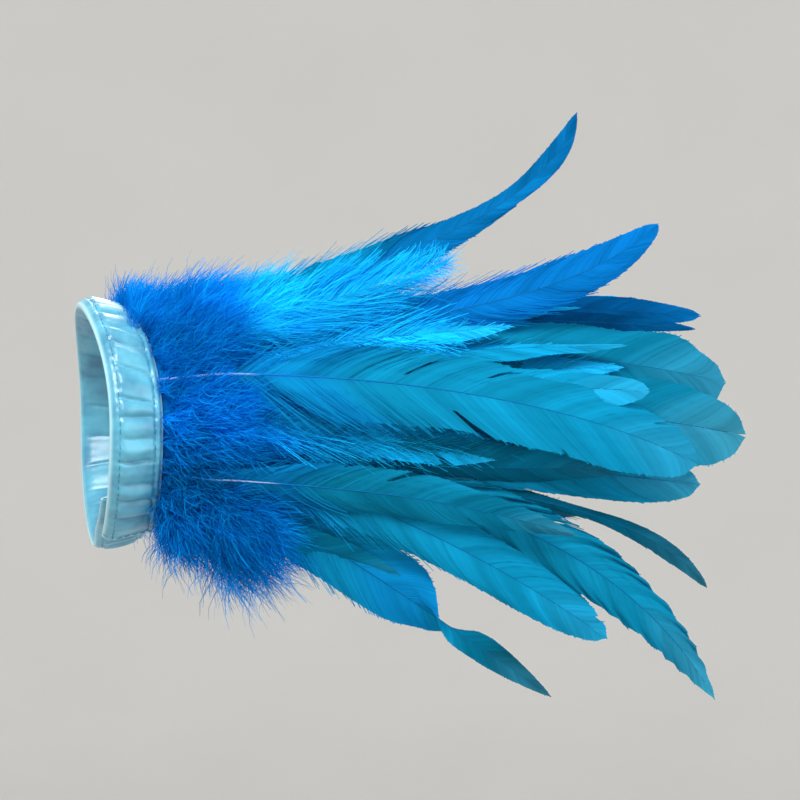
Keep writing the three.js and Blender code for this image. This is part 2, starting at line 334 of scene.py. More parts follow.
def fluffyDown(finish):
    material, tree, shader = newMaterial("fluffyDown")
    softFinish(tree, shader, toned(tree, finish), finish)
    return material


def dyedQuill(finish):  # dyed like the vane, pale where its foot lies bare
    material, tree, shader = newMaterial("dyedQuill")
    setSockets(shader, toned(tree, finish), finish["sockets"])
    return material


satinFinish = dict(
    noiseScale=90.0, noiseDetail=3.0,
    # the noise stops paint light and shade in patches over the gathers
    noiseStops=[(0.3, (0.02, 0.2, 0.35)), (0.62, (0.09, 0.41, 0.56))],
    # edge: colour of the painted highlight along the folded and cut edges
    edge=(0.42, 0.72, 0.80, 1.0), weaveScale=4.2, weaveStrength=0.08, weaveDeep=0.1 * mm,
    sockets={"Roughness": 0.38, "Specular IOR Level": 0.9, "Sheen Weight": 0.15, "Sheen Roughness": 0.35,
             "Sheen Tint": (0.8, 0.95, 1.0, 1.0)},
)


# painted highlight along its folded and cut edges, painted light and shade in patches over it
def blueSatin(finish):  # paler along its folded and cut edges
    material, tree, shader = newMaterial("blueSatin")
    colour = blended(tree, reading(tree, "edge"), mottled(tree, finish), finish["edge"])
    setSockets(shader, colour, finish["sockets"])
    weave = add(tree, "ShaderNodeTexWave", reading(tree, "UVMap", "Vector"), finish["weaveScale"])
    bump = add(tree, "ShaderNodeBump", finish["weaveStrength"], finish["weaveDeep"], None, weave)
    tree.links.new(bump, shader.inputs["Normal"])
    return material


threadFinish = dict(noiseScale=2500.0, noiseDetail=2.0,
                    noiseStops=[(0.35, (0.02, 0.14, 0.26)), (0.65, (0.05, 0.24, 0.4))],
                    sockets={"Roughness": 0.75, "Specular IOR Level": 0.2})
snapFinish = dict(noiseScale=400.0, noiseDetail=2.0,
                  noiseStops=[(0.3, (0.66, 0.75, 0.79)), (0.7, (0.80, 0.86, 0.88))],
                  sockets={"Roughness": 0.28})


def mottledLook(name, finish):
    material, tree, shader = newMaterial(name)
    setSockets(shader, mottled(tree, finish), finish["sockets"])
    return material


featherLook = dyedFeather(featherFinish)
downLook = fluffyDown(downFinish)
quillLook = dyedQuill(quillFinish)
satinLook = blueSatin(satinFinish)
threadLook = mottledLook("sewingThread", threadFinish)
snapLook = mottledLook("snapPlastic", snapFinish)
print("materials made")


# feathers: the long ones, a row each
# light is how light each feather is painted: partly its own dye, partly painted light and shade
featherColumns = ("around", "length", "width", "pitch", "yaw", "bendUp", "bendBack", "bendLate", "turn",
                  "turnMore", "point", "tone", "light", "more")
longFeathers = {  # last what only some have: a dyeTo keeps them blue further along
    "topSpike": (68, 183, 17, 18.8, -3, 57, 0, 5.2, 25, 25, 0.5, 0, 0.6,
                 dict(fluff=0.42, neckAt=0.78, neckOver=0.15, neckBy=0.55, dyeTo=0.22)),
    "upperSpike": (46, 190, 16, 8.6, -4, 35, 4, 4.6, 20, 15, 0.3, 0, 0.78, dict(fluff=0.6, dyeTo=0.19)),
    "upperStrap": (56, 202, 11, 9.1, -1, -13.8, 3, 1.5, 30, 20, 0.2, 0.2, 0.6, dict(dyeTo=0.2)),
    "upperBroad": (33, 204, 34.5, 7.8, -5, -21, 8, 1.6, 10, 0, 0, 0.75, 0.64, dict(ragged=0.25)),
    "middleBroad": (18, 207.5, 31, 1.6, -7, -13, 8, 1.5, 0, 10, 0.05, 1, 0.84, dict(ragged=0.25)),
    "middleStrap": (-4, 190.5, 17, -5.1, -6, -1.5, 6, 1.5, -10, 0, 0, 0.8, 0.85, dict(ragged=0.4)),
    "lowerWisp": (-14, 202, 9, -7.4, -5, -47.5, 5, 5.6, -15, -20, 0.2, 0.9, 0.42,
                  dict(neckAt=0.74, neckOver=0.12, neckBy=0.62)),
    "lowerCurl": (-24, 220, 20, -2, -8, -59.5, 5, 1.9, -10, -15, 0.6, 0.9, 0.85, dict(ripple=0.2)),
    "lowerStrap": (-12, 172, 18, -12.2, -11, -23, 10, 1, -5, 0, 0.2, 0.3, 0.72,
                   dict(fluff=0.4, ragged=0.3)),
    "lowestSpike": (-38, 160, 25, -10.7, -12, -28.2, 12, 0.6, -10, -10, 0.8, 0.3, 0.9,
                    dict(fluff=0.32, ragged=0.1, dyeTo=0.27, sway=3, twistAt=0.62, twistOver=0.22,
                         twistBy=165)),
    "brightBlade": (50, 122, 21, 5, -7, -8, 4, 1.5, 12, 0, 0.4, 0, 1.35, dict(fluff=0.6)),
    "upperBlade": (57, 116, 21, 14, -5, 5, 2, 1.5, 15, 0, 0.9, 0.1, 1,
                   dict(fluff=1.15, ragged=0.2, dense=3)),
    "centreBlade": (8, 124, 19, -2, -11, -12, 6, 1.5, 0, 0, 0.5, 0.3, 1.3, dict(fluff=0.5)),
    "backSpike": (138, 176, 14, 3, 9, -6, 34, 2.4, -20, -20, 0.9, 0.3, 0.8),
    "backBroad": (166, 196, 22, 0, 7, -8, -8, 1.6, -5, 0, 0.15, 0.8, 1),
    "backStrap": (190, 188, 15, -1, 11, -4, 12, 1.8, 5, 10, 0.3, 0.4, 0.9),
    "backCurl": (208, 172, 16, 2, 14, -14, 26, 2, 10, 20, 0.8, 0.7, 0.85),
    "lowBackBlade": (224, 140, 18, -2, 16, -16, -4, 1.2, 10, 0, 0.6, 0.5, 0.9),
    # for looks alone: three that lie over the down and a thin one
    "overUpper": (24, 190, 28, -0.8, -10.5, -26.5, 4, 2.2, 8, 5, 0.15, 0.5, 0.78,
                  dict(layer=1, fluff=0.31, arch=8, vaneFrom=0.15, widenOver=0.22, dyeFrom=0.29,
                       bareFrom=0.0, bareTo=0.16)),
    "overLower": (-22, 146, 17, -3, -11, -14, 7, 1.5, -5, 0, 0.8, 0.9, 0.8,
                  dict(layer=1, arch=9, vaneFrom=0.05, dyeFrom=0.3, bareFrom=0.17, bareTo=0.26)),
    "overLowest": (-47, 92, 14, -9, -12, -16, 8, 1.4, -8, -5, 0.8, 0.5, 0.7,
                   dict(layer=1, arch=8, vaneFrom=0.3, bareFrom=0.17, bareTo=0.32)),
    "upperSliver": (52, 199, 8, 8, -1, -13.5, 3, 1.5, 30, 20, 0.5, 0.1, 0.45, dict(dyeTo=0.2)),
}
featherPlain = dict(  # what a feather has if nothing else is said: a place of 2 is past its tip
    more={}, layer=0, fluff=0.24, ragged=1.0, dense=1, arch=0, sway=0, ripple=0, vaneFrom=0.07,
    widenOver=0.4, dyeFrom=0, dyeTo=None, twistAt=2, twistOver=1, twistBy=0, neckAt=2, neckOver=1, neckBy=0,
    bareFrom=2, bareTo=3,
)
rowColumns = ("count", "from", "to", "layer", "length", "width", "spreadUp", "spreadOut", "sharp", "lowShort",
              "fluff", "leaveOut")
fillRows = [  # the solids' fill rows
    (13, -48, 224, 0, 158, 18, 4, 8, 0, 0, (0.4, 0.55), ()),
    (9, -40, 216, -0.3, 136, 17, 1, 2, 0, 0, (0.4, 0.55), ()),
]
coverRows = [  # shorter feathers that lie over and between them, for looks alone
    (34, -42, 226, -0.2, 164, 21, 3, 6, 0.6, 0.3, (0.55, 0.9), (12,)),
    (26, -46, 228, 0.2, 140, 22, 4, 8, 0.7, 0.25, (0.6, 0.95), (4, 6)),
]
# the last value paints feathers higher up lighter: painted light from above
fillVary = dict(around=5, length=16, width=3, aim=4, droop=9, sideways=7, turn=14, bendLate=1.5, lowFrom=8,
                lowOver=24, tone=0.55, toneVary=0.2, light=(0.62, 1.06), paintedLightUp=0.35)
seeds = dict(fill=20261, cover=5077, tone=11, barbs=23, down=71, ribbon=5)


def longRows():
    rows = [dict(featherPlain, **dict(zip(featherColumns, values))) for values in longFeathers.values()]
    return [dict(row, **row["more"]) for row in rows]


def spreadRows(rows, seed, toneRng):
    numbers = series(seed)
    vary = fillVary

    def either():
        return 2 * next(numbers) - 1

    feathers = []
    for values in rows:
        row = dict(zip(rowColumns, values))
        for i in range(row["count"]):
            around = mix(row["from"], row["to"], i / (row["count"] - 1)) + vary["around"] * either()
            up = math.sin(math.radians(around))
            tone = vary["tone"] - vary["tone"] * up
            shorter = 1 - row["lowShort"] * float(smooth(vary["lowFrom"] - around, vary["lowOver"]))
            feather = dict(
                featherPlain,
                around=around,
                layer=row["layer"],
                length=(row["length"] + vary["length"] * either()) * shorter,
                width=row["width"] + vary["width"] * either(),
                pitch=row["spreadUp"] * up + vary["aim"] * either(),
                yaw=-row["spreadOut"] * math.cos(math.radians(around)) + vary["aim"] * either(),
                bendUp=-vary["droop"] * next(numbers),
                bendBack=vary["sideways"] * either(),
                bendLate=vary["bendLate"],
                turn=vary["turn"] * either(),
                turnMore=vary["turn"] * either(),
                point=mix(row["sharp"], 1, next(numbers)),
                tone=np.clip(tone + toneRng.uniform(-vary["toneVary"], vary["toneVary"]), 0, 1),
                # painted light: feathers higher up are made lighter
                light=toneRng.uniform(*vary["light"]) * (1 + vary["paintedLightUp"] * up),
                fluff=toneRng.uniform(*row["fluff"]),
            )
            if i not in row["leaveOut"]:
                feathers.append(feather)
    return feathers


featherForm = dict(
    bendIn=35, footAt=3, footWidth=4, widenFrom=0.06, tipWidth=1.2, camber=0.2, pathSteps=120,
    turnOver=0.25, archOver=0.15, archFall=0.3, archFallFrom=0.2, archFallOver=0.5, endAt=1.004,
    endOver=0.02,
)
tipForm = dict(start=(0.84, 0.5), curve=(2.6, 1.5), round=(0.5, 0.9))  # a round tip and a pointed one
twist = dict(spread=0.35, pinch=0.45, narrow=0.34, curl=0.85, dull=0.48)


def turnedOver(feather, share):  # how far a twist has turned it, and how near the twist's middle is
    past = share - feather["twistAt"]
    near = hill(past, feather["twistOver"] / 2, twist["spread"] * feather["twistOver"])
    return smooth(past, feather["twistOver"]), near


def halfWidth(feather, share):
    form = featherForm
    widening = smooth(share - form["widenFrom"], feather["widenOver"])
    body = mix(form["footWidth"], feather["width"], widening) / 2
    tipFrom, tipCurve, tipRound = (mix(*ends, feather["point"]) for ends in tipForm.values())
    past = np.clip((share - tipFrom) / (1 - tipFrom), 0, 1)
    close = (1 - past ** tipCurve) ** tipRound
    half = np.where(share > tipFrom, np.maximum(form["tipWidth"] / 2, body * close), body)
    turned, near = turnedOver(feather, share)
    half = half * (1 - twist["pinch"] * near) * (1 - twist["narrow"] * turned)
    half = half * (1 - feather["neckBy"] * hill(share, feather["neckAt"], feather["neckOver"]))
    return half * smooth(form["endAt"] - share, form["endOver"])


def quillPath(feather):  # shares along the quill, its points, its way and the side that the vane faces
    form = featherForm
    steps = form["pathSteps"]
    point, across, out = ribbonFrame(feather["around"])[:3]
    share = np.linspace(0, 1, steps + 1)

    def wayAt(at):
        bend = at ** feather["bendLate"]
        sway = feather["sway"] * np.cos(2 * math.pi * at)
        pitch = np.radians(feather["pitch"] + feather["bendUp"] * bend + sway)
        yaw = np.radians(feather["yaw"] + feather["bendBack"] * bend)
        aim = np.stack([np.cos(pitch) * np.cos(yaw), np.cos(pitch) * np.sin(yaw), np.sin(pitch)], -1)
        return unit(mix(across, aim, smooth(at * feather["length"], form["bendIn"])[:, None]))

    way = wayAt(share)
    moves = wayAt((share[1:] + share[:-1]) / 2) * feather["length"] / steps
    foot = point + across * form["footAt"] + out * feather["layer"]
    points = foot + np.vstack([np.zeros(3), np.cumsum(moves, 0)])
    arch = feather["arch"] * smooth(share, form["archOver"])
    arch = arch * (1 - form["archFall"] * smooth(share - form["archFallFrom"], form["archFallOver"]))
    points = points + out * arch[:, None]
    side = unit(out - way * (way @ out)[:, None])
    roll = feather["turn"] * smooth(share, form["turnOver"]) + feather["turnMore"] * share
    roll = np.radians(roll + feather["twistBy"] * turnedOver(feather, share)[0])[:, None]
    return share, points, way, side * np.cos(roll) + np.cross(way, side) * np.sin(roll)


barbs = dict(
    spacing=0.6, jitter=0.25, quillEnd=0.975, tipFrom=0.8, uneven=0.012, sweepFoot=1.8, sweepTip=3.0,
    sweepCurve=1.2, sweepMost=0.115, lowTo=0.24, lowOver=0.16, lowSweep=0.55, landTries=5, downyOver=0.2,
    downyPast=2.5, downyDrop=1.2, downyPaintedLight=0.3, loosePast=0.25, looseOver=0.35, clump=8, clumpPull=0.2,
    clumpTo=0.97, clumpOver=0.06, wave=0.07, waves=(6.0, 11.0, 21.0), rippleEvery=1.7, rippleWander=1.2,
    rippleOver=6, rootAngle=42, angleOver=0.12, bendAt=0.48, bendUp=0.02, phases=6.28, streak=0.07,
    streaks=(2.3, 5.0, 9.0), vaneLight=0.05, spark=0.14, clumpSpark=0.05, dyeFrom=0.3, dyeOver=0.25,
)
splits = dict(per100=0.9, at=(0.3, 1), size=(0.3, 1), open=3.2, back=0.7, reach=5.0, fullWidth=8, lift=0.7,
              noneFrom=0.93)


def pathAt(path, at, hand):  # at any shares along it: points, its way, its side and the way to that hand
    share, *tables = path
    point, way, side = (np.stack([np.interp(at, share, part) for part in table.T], -1) for table in tables)
    way, side = unit(way), unit(side)
    return point, way, side, np.cross(way, side) * hand


def waving(distance, lengths, rng):  # waves of these lengths, each starting anywhere
    return sum(np.sin(distance / wave + rng.uniform(0, barbs["phases"])) for wave in lengths)


def landings(feather, at, downy):  # how far along the feather the end of each barb lies
    length = feather["length"]
    ratio = mix(barbs["sweepFoot"], barbs["sweepTip"], at ** barbs["sweepCurve"])
    ratio = ratio * mix(1, barbs["lowSweep"], smooth(barbs["lowTo"] - at, barbs["lowOver"]))
    ratio = np.minimum(ratio, barbs["sweepMost"] * (1 + downy) * 2 * length / feather["width"])
    lands = at
    for _ in range(barbs["landTries"]):
        lands = at + halfWidth(feather, np.minimum(1, lands)) * ratio / length
    tipLand = np.interp(barbs["tipFrom"], at, lands)
    left = np.clip((barbs["quillEnd"] - at) / (barbs["quillEnd"] - barbs["tipFrom"]), 0, 1)
    return np.where(at > barbs["tipFrom"], 1 - (1 - tipLand) * left, lands)


def dyedShare(feather, at, turned):  # where on the dye's ramp a barb is: the under side isn't changed
    share = at
    if feather["dyeTo"] is not None:
        share = mix(at, feather["dyeTo"], smooth(at - barbs["dyeFrom"], barbs["dyeOver"]))
    return mix(np.maximum(share, feather["dyeFrom"]), at, turned)


def vaneOf(feather, path, hand, rng):  # the barbs on one hand of the quill
    length, vaneFrom, ragged = feather["length"], feather["vaneFrom"], feather["ragged"]
    count = int((barbs["quillEnd"] - vaneFrom) * length / barbs["spacing"])
    steps = (np.arange(count) + 0.5 + rng.uniform(-barbs["jitter"], barbs["jitter"], count)) / count
    at = mix(vaneFrom, barbs["quillEnd"], steps)
    distance = at * length
    downy = smooth(feather["fluff"] - at, barbs["downyOver"])  # soft barbs at the foot
    loose = smooth(feather["fluff"] + barbs["loosePast"] - at, barbs["looseOver"])
    lands = landings(feather, at, downy)
    reach = halfWidth(feather, np.minimum(1, lands)) * (1 + rng.normal(0, barbs["uneven"], count))
    reach = reach + downy * rng.uniform(0, barbs["downyPast"], count)
    sweep = (lands - at) * length
    lift = np.zeros(count)  # a split pushes the barbs apart and lifts one edge over the other
    for _ in range(rng.poisson(ragged * splits["per100"] * length / 100)):
        far = (at - rng.uniform(*splits["at"])) * length
        fade = np.exp(-np.abs(far) / splits["reach"])
        size = rng.uniform(*splits["size"]) * splits["open"]
        apart = np.where(far > 0, 1.0, -splits["back"]) * fade * size
        sweep = sweep + apart * np.minimum(reach / splits["fullWidth"], 1)
        lift = lift + np.where(far > 0, 1.0, -1.0) * fade * rng.normal(0, splits["lift"])
    sweep = np.where(at > splits["noneFrom"], (lands - at) * length, sweep)
    group = np.arange(count) // barbs["clump"]  # neighbours cling together
    groups = group[-1] + 1
    middle = (group + 0.5) * barbs["clump"] / count
    pull = rng.uniform(0, barbs["clumpPull"] * ragged, groups)[group]
    pull = pull * smooth(barbs["clumpTo"] - at, barbs["clumpOver"])
    sweep = sweep + (middle - steps) * pull * length * (barbs["quillEnd"] - vaneFrom)
    # how far each end bends down from the vane's plane
    curl = featherForm["camber"] + barbs["wave"] * waving(distance, barbs["waves"], rng)
    wander = barbs["rippleWander"] * np.sin(distance / barbs["rippleOver"])
    curl = curl + feather["ripple"] * np.sin(distance / barbs["rippleEvery"] + wander)
    curl = curl - twist["curl"] * turnedOver(feather, lands)[1]
    drop = reach * curl - lift + downy * rng.normal(0, barbs["downyDrop"], count)
    # where each barb starts, bends and ends
    land = at + sweep / length
    past = np.maximum(0, land - 1)[:, None] * length  # past the quill's end it goes straight on
    root, rootWay, rootSide, rootAcross = pathAt(path, at, hand)
    landPoint, landWay, landSide, landAcross = pathAt(path, np.minimum(land, 1), hand)
    end = landPoint + landWay * past - root
    end = end + landAcross * reach[:, None] - landSide * drop[:, None]
    size = np.linalg.norm(end, axis=1, keepdims=True)
    steep = smooth(barbs["quillEnd"] - at, barbs["angleOver"])
    angle = (math.radians(barbs["rootAngle"]) * steep)[:, None]
    bend = size * barbs["bendAt"] * (rootWay * np.cos(angle) + rootAcross * np.sin(angle))
    bend = bend + rootSide * size * barbs["bendUp"]
    # its lightness: partly its dye, partly painted light and shade
    streaks = barbs["streak"] * waving(distance, barbs["streaks"], rng)
    turned = turnedOver(feather, at)[0]
    light = feather["light"] * (1 + streaks + rng.normal(0, barbs["vaneLight"]))
    # soft barbs are painted lighter, against the shade that they cast on each other
    light = light * (1 + barbs["downyPaintedLight"] * downy) * (1 - twist["dull"] * turned)
    clumpSpark = np.repeat(rng.normal(0, 1, groups), barbs["clump"])[:count]
    spark = 0.5 + barbs["clumpSpark"] * clumpSpark + rng.normal(0, barbs["spark"], count)
    return dict(
        root=root, bend=bend, end=end, side=rootSide, downy=downy, loose=loose,
        dense=np.full(count, feather["dense"]), share=dyedShare(feather, at, turned),
        tone=mix(feather["tone"], 1, turned), light=light, spark=np.clip(spark, 0, 1),
    )


strand = dict(
    looseFrom=0.1, downyFrom=0.4, bendPart=0.6, roll=8, looseRoll=3, proud=(-0.05, 0.12), stray=1.2,
    strayUp=(-0.35, 1.75), longer=(0.95, 1.01), looseLonger=0.35, wide=(0.6, 1.2), looseThin=0.5,
)
strandCounts = dict(front=(2, 2), top=(2, 2), back=(3, 1))  # one to so many barbs, so many to a soft one
lookValues = ("share", "tone", "light", "spark")  # what the soft materials read


def strandsOf(vane, counts, rng):  # the barbs that stand a little proud of the vane and fringe its edge
    every = np.arange(len(vane["share"]))
    copies = (every % counts[0] == 0) | (vane["loose"] > rng.uniform(strand["looseFrom"], 1, len(every)))
    copies = np.where(vane["downy"] > strand["downyFrom"], counts[1], copies.astype(int)) * vane["dense"]
    keep = np.repeat(every, copies)
    picked = {label: values[keep] for label, values in vane.items()}
    count = len(keep)
    side = picked.pop("side")
    loose = picked.pop("loose")[:, None]
    soft = loose + picked.pop("downy")[:, None]
    del picked["dense"]
    flat = unit(np.cross(side, unit(picked["end"] - picked["bend"] * strand["bendPart"])))
    roll = np.radians(rng.normal(0, strand["roll"], count))[:, None] * (1 + strand["looseRoll"] * loose)
    picked["flat"] = flat * np.cos(roll) + side * np.sin(roll)
    picked["root"] = picked["root"] + side * rng.uniform(*strand["proud"], count)[:, None]
    stray = rng.normal(0, 1, (count, 3)) * strand["stray"]
    stray = soft * (stray + side * rng.uniform(*strand["strayUp"], (count, 1)))
    longer = rng.uniform(*strand["longer"], (count, 1))
    longer = longer + loose * rng.uniform(0, strand["looseLonger"], (count, 1))
    picked["end"] = picked["end"] * longer + stray
    picked["wide"] = rng.uniform(*strand["wide"], count) * (1 - strand["looseThin"] * loose[:, 0])
    return picked


skin = dict(every=2, ridge=0.04, ridgeOver=0.25, closedTo=2.4, downyFrom=0.6)
skinShares = np.array([0.0, 0.22, 0.45, 0.68, 0.86, 0.97])


def skinOf(vane):  # the closed vane: a sheet laid over its barbs, open at the splits
    keep = np.arange(0, len(vane["share"]), skin["every"])
    u = skinShares[None, :, None]
    root, bend, end, side = (vane[label][keep][:, None] for label in ("root", "bend", "end", "side"))
    ridge = (skin["ridge"] * np.where(np.arange(len(keep)) % 2 == 0, 1.0, -1.0))[:, None, None]
    sheet = root + 2 * u * (1 - u) * bend + u * u * end + side * ridge * np.minimum(1, u / skin["ridgeOver"])
    gap = np.linalg.norm(np.diff(sheet, axis=0), axis=2)
    closed = gap[:, 1:] < skin["closedTo"] * barbs["spacing"] * skin["every"]
    closed[:, 0] = True
    closed &= (vane["downy"][keep][:-1] < skin["downyFrom"])[:, None]
    across = sheet.shape[1]
    i, j = np.nonzero(closed)
    corner = i * across + j
    quads = np.stack([corner, corner + 1, corner + across + 1, corner + across], -1)
    columns = {label: np.repeat(vane[label][keep], across) for label in lookValues}
    return sheet.reshape(-1, 3), quads, columns


def joined(parts):
    return {label: np.concatenate([p[label] for p in parts]) for label in parts[0]}


def stripPiece(name, parts, settings):
    columns = joined(parts)
    scaled = {k: (v * mm if k in ("root", "bend", "end") else v) for k, v in columns.items()}
    return growPiece(name, plainMesh(name, columns["root"], scaled), strips, settings, keep=lookValues)


def skinPiece(name, skins):
    points, quads, columns, first = [], [], [], 0
    for sheet, faces, values in skins:
        points.append(sheet)
        quads.append(faces + first)
        columns.append(values)
        first += len(sheet)
    mesh = plainMesh(name, np.concatenate(points), joined(columns), faces=np.concatenate(quads).tolist())
    mesh.materials.append(featherLook)
    mesh.shade_smooth()
    print("vanes", name, len(mesh.polygons), "faces")
    return linkPiece(name, mesh)


toneRng = np.random.default_rng(seeds["tone"])
feathers = longRows()
feathers += spreadRows(fillRows, seeds["fill"], toneRng)
feathers += spreadRows(coverRows, seeds["cover"], toneRng)
groupEnds = dict(front=40, top=120, back=360)
groups = {label: [] for label in groupEnds}
for number, feather in enumerate(feathers):
    label = next(label for label, end in groupEnds.items() if feather["around"] < end)
    barbRng = np.random.default_rng((seeds["barbs"], number))  # a change to one leaves the others alone
    path = quillPath(feather)
    groups[label] += [vaneOf(feather, path, hand, barbRng) for hand in (-1, 1)]
barbStrip = {"Root Width": 0.5 * mm, "Tip Width": 0.3 * mm, "Steps": 4, "Material": featherLook}
featherPieces = []
for label, vanes in groups.items():
    featherPieces.append(skinPiece("vanes_" + label, [skinOf(vane) for vane in vanes]))
    strandRng = np.random.default_rng(seeds["barbs"])
    strands = [strandsOf(vane, strandCounts[label], strandRng) for vane in vanes]
    featherPieces.append(stripPiece("barbs_" + label, strands, barbStrip))

quill = dict(foot=0.5, tip=0.08, taper=0.7, sides=6, every=4, fullLength=180, bareOver=0.04,
             bareEndOver=0.06)


def quillPiece():
    paths, parts = [], []
    for feather in feathers:
        share, points = quillPath(feather)[:2]
        keep = np.arange(0, int(len(share) * barbs["quillEnd"]), quill["every"])
        share = share[keep]
        paths.append(points[keep])
        size = feather["length"] / quill["fullLength"]
        bare = smooth(share - feather["bareFrom"] + quill["bareOver"], quill["bareOver"])
        bare = bare * smooth(feather["bareTo"] + quill["bareOver"] - share, quill["bareEndOver"])
        thick = mix(quill["foot"], quill["tip"], share ** quill["taper"]) * size * mm
        parts.append(dict(thick=thick, share=share, tone=bare))
    mesh = plainMesh("feather_quills", np.concatenate(paths), joined(parts), pathEdges(paths))
    return growPiece("feather_quills", mesh, tubes, {"Sides": quill["sides"], "Material": quillLook},
                     keep=("share", "tone"))


quills = quillPiece()


# down: small plumes of threads on the flaring foot of the fringe
down = dict(
    mouth=9.5, flare=26, gap=1.2, hang=2.2, hangDown=26, stand=0.5, atVary=3, riseVary=9, leanVary=16,
    lengthVary=(0.7, 1.2), lightVary=0.13,
)
downColumns = ("from", "to", "at", "count", "rise", "length", "pale")
innerRows = [
    (50, 130, 7, 60, 84, 8, 0),
    (-56, 232, 10, 150, 66, 8, 0),
    (-56, 232, 14, 170, 58, 10, 0),
    (-56, 232, 19, 190, 50, 12, 0),
]
outerRows = [
    (-56, 232, 24, 200, 42, 13, 0),
    (-56, 232, 29, 200, 32, 13, 0),
    (40, 140, 38, 90, 26, 14, 0.8),
    (56, 130, 48, 80, 20, 13, 1),
    (-58, -36, 13, 80, 78, 8.5, 0),
    (-58, -26, 24, 120, 66, 12, 0),
    (-57, -30, 34, 110, 58, 11, 0),
]
# painted light and shade on the down, lighter or darker by the angle round the ribbon
paintedDownShading = [(-24, 9, -0.25), (5, 10, 0.2), (62, 14, 0.15)]  # middle, spread, how much lighter or darker
partings = [(24.5, 6.5, 0.85), (-21, 6.5, 0.8)]  # shorter under a feather: middle, spread and how much


def downHeight(at):  # the foot of the fringe flares past the ribbon's mouth
    return down["gap"] + np.maximum(0, at - down["mouth"]) * math.tan(math.radians(down["flare"]))


def plumes(row, rng):
    count = row["count"]
    around = mix(row["from"], row["to"], (np.arange(count) + rng.uniform(0, 1, count)) / count)
    point, across, out, along = ribbonFrame(around)
    at = row["at"] + rng.uniform(-down["atVary"], down["atVary"], count)
    low = np.maximum(0, -np.sin(np.radians(around))) ** 2
    high = np.maximum(0, np.sin(np.radians(around))) ** 2
    rise = np.radians(row["rise"] + down["hangDown"] * low + rng.normal(0, down["riseVary"], count))[:, None]
    lean = np.radians(rng.normal(0, down["leanVary"], count))[:, None]
    length = row["length"] * (1 + down["hang"] * low + down["stand"] * high)
    length = length * rng.uniform(*down["lengthVary"], count)
    for middle, spread, shorter in partings:
        length = length * (1 - shorter * hill(around, middle, spread))
    way = unit(across * np.cos(rise) + out * np.sin(rise) + along * np.sin(lean))
    base = point + across * at[:, None] + out * downHeight(at)[:, None]
    # painted light and shade on each plume by where it sits round the ring
    light = 1 + sum(change * hill(around, middle, spread) for middle, spread, change in paintedDownShading)
    return base, way, across, length, light * (1 + rng.normal(0, down["lightVary"], count))


thread = dict(
    each=32, length=7.5, lengthVary=(0.6, 1.25), lengthLeast=0.55, lengthMore=0.45, fullPlume=16,
    startTo=0.75, startCurve=1.2, stemLean=0.22, open=1.1, openFrom=0.15, endLean=0.15, bendWay=0.4,
    bendAside=0.8, wide=(0.7, 1.3), stemShare=0.8, shareVary=0.3,
)


def threadsOf(values, rng):
    row = dict(zip(downColumns, values))
    base, way, across, length, light = (np.repeat(v, thread["each"], 0) for v in plumes(row, rng))
    length = length[:, None]
    count = len(base)
    start = rng.uniform(0, thread["startTo"], (count, 1)) ** thread["startCurve"]
    aside = unit(np.cross(way, rng.normal(0, 1, (count, 3))))
    stem = way * start + across * thread["stemLean"] * start ** 2
    size = thread["length"] * rng.uniform(*thread["lengthVary"], (count, 1))
    size = size * (thread["lengthLeast"] + thread["lengthMore"] * length / thread["fullPlume"])
    spread = rng.uniform(thread["openFrom"], 1, (count, 1)) * thread["open"]
    end = size * (way + aside * spread + across * thread["endLean"])
    bend = size * (way * thread["bendWay"] + aside * spread * thread["bendAside"])
    flat = unit(np.cross(end, rng.normal(0, 1, (count, 3))))
    wide = rng.uniform(*thread["wide"], count)
    share = start[:, 0] * thread["stemShare"] + rng.uniform(0, thread["shareVary"], count)
    return dict(
        root=base + stem * length, bend=bend, end=end, flat=flat, wide=wide,
        share=np.clip(share, 0, 1), tone=np.full(count, row["pale"]), light=light,
        spark=rng.uniform(0, 1, count),
    )


backing = dict(first=-56, last=232, foot=1, rim=33, wall=0.5, step=2.0, across=12, share=0.4, spark=0.3,
               light=0.9)


def backingPiece():  # the soft cloth the down grows on
    around = np.arange(backing["first"], backing["last"] + 0.1, backing["step"])
    point, across, out = ribbonFrame(around)[:3]
    outward = np.linspace(backing["foot"], backing["rim"], backing["across"])
    at = np.concatenate([outward, outward[::-1]])
    wall = np.repeat([backing["wall"] / 2, -backing["wall"] / 2], backing["across"])
    height = downHeight(at) + wall
    rings = point[:, None] + across[:, None] * at[None, :, None] + out[:, None] * height[None, :, None]
    mesh = ringMesh("down_backing", rings)
    setValues(mesh, "share", np.tile(at / backing["rim"] * backing["share"], len(around)))
    for label in ("spark", "light"):
        setValues(mesh, label, np.full(len(mesh.vertices), backing[label]))
    mesh.materials.append(downLook)
    return linkPiece("down_backing", mesh)


downRng = np.random.default_rng(seeds["down"])
downStrip = {"Root Width": 0.2 * mm, "Tip Width": 0.08 * mm, "Steps": 4, "Material": downLook}
downInner = stripPiece("down_inner", [threadsOf(row, downRng) for row in innerRows], downStrip)
downOuter = stripPiece("down_outer", [threadsOf(row, downRng) for row in outerRows], downStrip)
downCloth = backingPiece()


